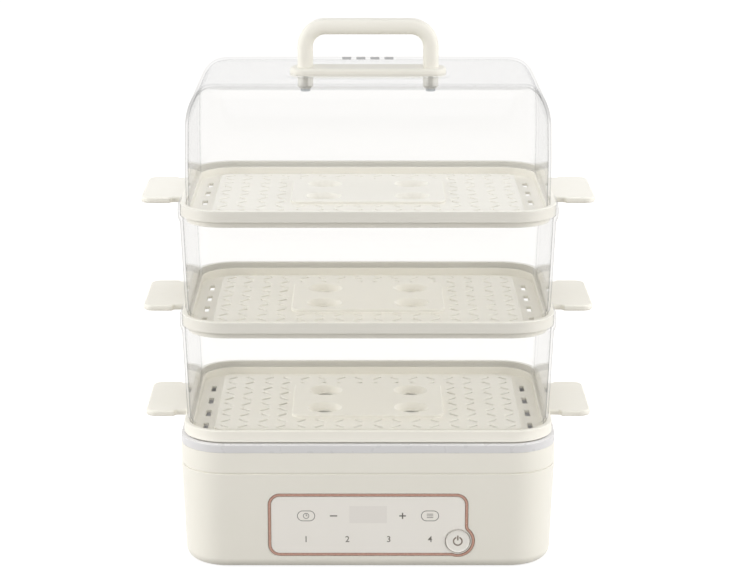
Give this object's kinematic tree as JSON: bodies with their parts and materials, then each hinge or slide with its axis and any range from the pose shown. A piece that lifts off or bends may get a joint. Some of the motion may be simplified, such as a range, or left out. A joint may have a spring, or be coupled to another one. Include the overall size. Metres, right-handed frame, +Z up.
{
  "type": "electric food steamer",
  "caption": "Free-standing electric food steamer: rectangular base with water tank, heater and touch panel, stacked slotted trays, clear rings and a clear lid with a U-shaped handle.",
  "frame": {"origin": "centre of the base on the surface that it stands on", "axes": "+Z up, +X to the right of someone facing the control panel, control panel towards -Y"},
  "size_m": [0.388, 0.236, 0.4565],
  "materials": {
    "ivory_plastic": "satin moulded",
    "clear_plastic": "clear polished",
    "grey_plastic": "translucent satin",
    "rose_gold_plating": "rose gold plated",
    "panel_lens": "satin lens",
    "button_plastic": "satin moulded",
    "rubber": "matt",
    "steel": "bright",
    "aluminium": "matt cast",
    "circuit_board": "solder mask",
    "dark_plastic": "matt",
    "pale_plastic": "matt",
    "copper_winding": "wound",
    "wire": "wire insulation"
  },
  "bodies": {
    "base": {"lower_housing": "ivory_plastic", "water_tank": "ivory_plastic", "bottom_plate": "ivory_plastic", "rubber_feet": "rubber", "bottom_screws": "steel", "housing_screws": "steel", "cord_gland": "rubber", "terminal_block": "pale_plastic", "power_board": "circuit_board", "relay": "dark_plastic", "capacitor": "aluminium", "transformer": "copper_winding", "control_board": "circuit_board", "board_screws": "steel", "display_module": "dark_plastic", "touch_springs": "copper_winding", "power_switch": "dark_plastic", "buzzer": "dark_plastic", "button_spring": "steel", "control_panel": "panel_lens", "panel_trim": "rose_gold_plating", "heater_plate": "aluminium", "heater_seal": "rubber", "heating_element": "steel", "heater_clamp": "steel", "clamp_screws": "steel", "thermostat": "steel", "thermal_fuse": "pale_plastic", "heater_leads": "wire", "panel_ribbon": "wire"},
    "power_button": {"power_button": "button_plastic"},
    "steam_ring": {"steam_ring": "ivory_plastic"},
    "drip_tray": {"drip_tray": "grey_plastic"},
    "tray_1": {"steam_tray_1": "ivory_plastic"},
    "ring_1": {"window_ring_1": "clear_plastic"},
    "tray_2": {"steam_tray_2": "ivory_plastic"},
    "ring_2": {"window_ring_2": "clear_plastic"},
    "tray_3": {"steam_tray_3": "ivory_plastic"},
    "lid": {"lid": "clear_plastic", "lid_handle": "ivory_plastic", "handle_plate": "ivory_plastic", "handle_washers": "rubber", "handle_screws": "steel"}
  },
  "joints": [
    {"name": "power_button_press", "type": "slide", "parent": "base", "child": "power_button", "axis": [0, 0.9993, 0.0384], "range_m": [0, 0.0015], "stiffness_N_per_m": 900, "springref_m": -0.0012, "deforming": ["button_spring"]},
    {"name": "steam_ring_lift", "type": "slide", "parent": "base", "child": "steam_ring", "axis": [0, 0, 1], "range_m": [0, 0.012]},
    {"name": "drip_tray_lift", "type": "slide", "parent": "base", "child": "drip_tray", "axis": [0, 0, 1], "range_m": [0, 0.06]},
    {"name": "tray_1_lift", "type": "slide", "parent": "drip_tray", "child": "tray_1", "axis": [0, 0, 1], "range_m": [0, 0.05]},
    {"name": "ring_1_lift", "type": "slide", "parent": "tray_1", "child": "ring_1", "axis": [0, 0, 1], "range_m": [0, 0.1]},
    {"name": "tray_2_lift", "type": "slide", "parent": "ring_1", "child": "tray_2", "axis": [0, 0, 1], "range_m": [0, 0.05]},
    {"name": "ring_2_lift", "type": "slide", "parent": "tray_2", "child": "ring_2", "axis": [0, 0, 1], "range_m": [0, 0.1]},
    {"name": "tray_3_lift", "type": "slide", "parent": "ring_2", "child": "tray_3", "axis": [0, 0, 1], "range_m": [0, 0.05]},
    {"name": "lid_lift", "type": "slide", "parent": "tray_3", "child": "lid", "axis": [0, 0, 1], "range_m": [0, 0.12]}
  ]
}
